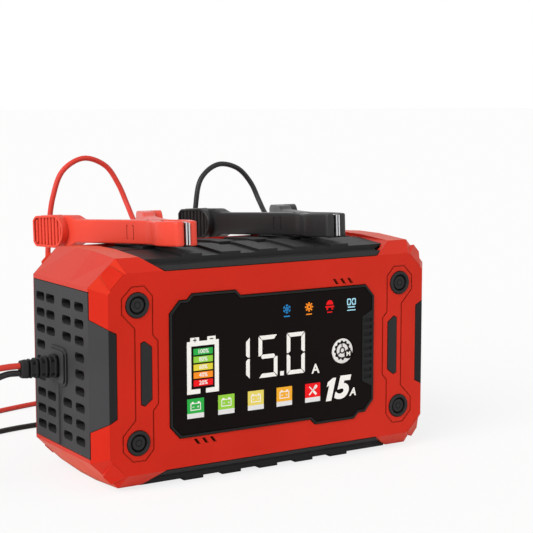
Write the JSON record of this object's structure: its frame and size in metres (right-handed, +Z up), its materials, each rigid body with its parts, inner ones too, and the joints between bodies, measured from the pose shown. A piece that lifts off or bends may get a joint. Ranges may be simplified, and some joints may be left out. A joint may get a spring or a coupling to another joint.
{
  "type": "car battery charger",
  "caption": "Chamfered car battery charger with a display, a mode button, ribbed panels, side vents and two leads ending in sprung battery clamps.",
  "frame": {"origin": "on the ground, under the middle of the case", "axes": "+X to the case's right as seen from the front, +Y from the display to the back, +Z up"},
  "size_m": [0.2444, 0.1901, 0.1401],
  "materials": {
    "shell": "fine moulded texture, satin",
    "black_trim": "matt moulded plastic",
    "grey_trim": "matt moulded plastic",
    "window": "smoked, polished",
    "screen": "polished",
    "white_print": "satin",
    "circuit_board": "solder mask",
    "steel": "zinc plated",
    "aluminium": "extruded",
    "ferrite": "sintered",
    "winding": "polyester tape over wire",
    "capacitor_sleeve": "shrink sleeve",
    "copper": "enamelled wire",
    "brass": "machined",
    "rubber": "moulded",
    "clamp_red": "satin",
    "clamp_black": "satin",
    "lead_red": "flexible sheath",
    "lead_black": "flexible sheath"
  },
  "bodies": {
    "case": {"front_shell": "shell", "rear_cover": "shell", "side_panel_left": "grey_trim", "side_panel_right": "grey_trim", "top_panel": "black_trim", "bottom_panel": "black_trim", "display_bezel": "grey_trim", "display_window": "window", "lcd_module": "screen", "display_board": "circuit_board", "screw_cap_1": "rubber", "screw_cap_2": "rubber", "screw_cap_3": "rubber", "screw_cap_4": "rubber", "case_screw_1": "steel", "case_screw_2": "steel", "case_screw_3": "steel", "case_screw_4": "steel", "slot_inlay_left": "black_trim", "slot_inlay_right": "black_trim", "main_board": "circuit_board", "board_screw_1": "steel", "board_screw_2": "steel", "board_screw_3": "steel", "board_screw_4": "steel", "heat_sink": "aluminium", "power_transistor_1": "black_trim", "power_transistor_2": "black_trim", "power_transistor_3": "black_trim", "transformer_core": "ferrite", "transformer_winding": "winding", "capacitor_1": "capacitor_sleeve", "capacitor_2": "capacitor_sleeve", "output_choke": "copper", "fan_frame": "black_trim", "mains_inlet": "black_trim", "inlet_pin_1": "brass", "inlet_pin_2": "brass", "strain_relief": "rubber", "red_clamp_body": "clamp_red", "red_clamp_body_jaw": "steel", "red_clamp_pin": "steel", "red_clamp_spring": "steel", "red_lead": "lead_red", "black_clamp_body": "clamp_black", "black_clamp_body_jaw": "steel", "black_clamp_pin": "steel", "black_clamp_spring": "steel", "black_lead": "lead_black"},
    "red_lever": {"red_clamp_lever": "clamp_red", "red_clamp_lever_jaw": "steel"},
    "black_lever": {"black_clamp_lever": "clamp_black", "black_clamp_lever_jaw": "steel"},
    "button": {"mode_button": "white_print"},
    "fan": {"fan_rotor": "black_trim"}
  },
  "joints": [
    {"name": "red_clamp_pivot", "type": "hinge", "parent": "case", "child": "red_lever", "pos_m": [-0.04235, -0.002, 0.1037], "axis": [0, -0.0499, -0.9988], "range_deg": [0, 26], "stiffness_Nm_per_rad": 0.4, "springref_deg": -22.92, "deforming": ["red_clamp_spring"]},
    {"name": "black_clamp_pivot", "type": "hinge", "parent": "case", "child": "black_lever", "pos_m": [0.03765, -0.002, 0.1037], "axis": [0, -0.0499, -0.9988], "range_deg": [0, 26], "stiffness_Nm_per_rad": 0.4, "springref_deg": -22.92, "deforming": ["black_clamp_spring"]},
    {"name": "mode_button_press", "type": "slide", "parent": "case", "child": "button", "axis": [0, 1, 0], "range_m": [0, 0.0005], "stiffness_N_per_m": 1000, "springref_m": -0.0005},
    {"name": "fan_spin", "type": "hinge", "parent": "case", "child": "fan", "pos_m": [0.067, 0, 0.0518], "axis": [1, 0, 0], "continuous": true}
  ]
}
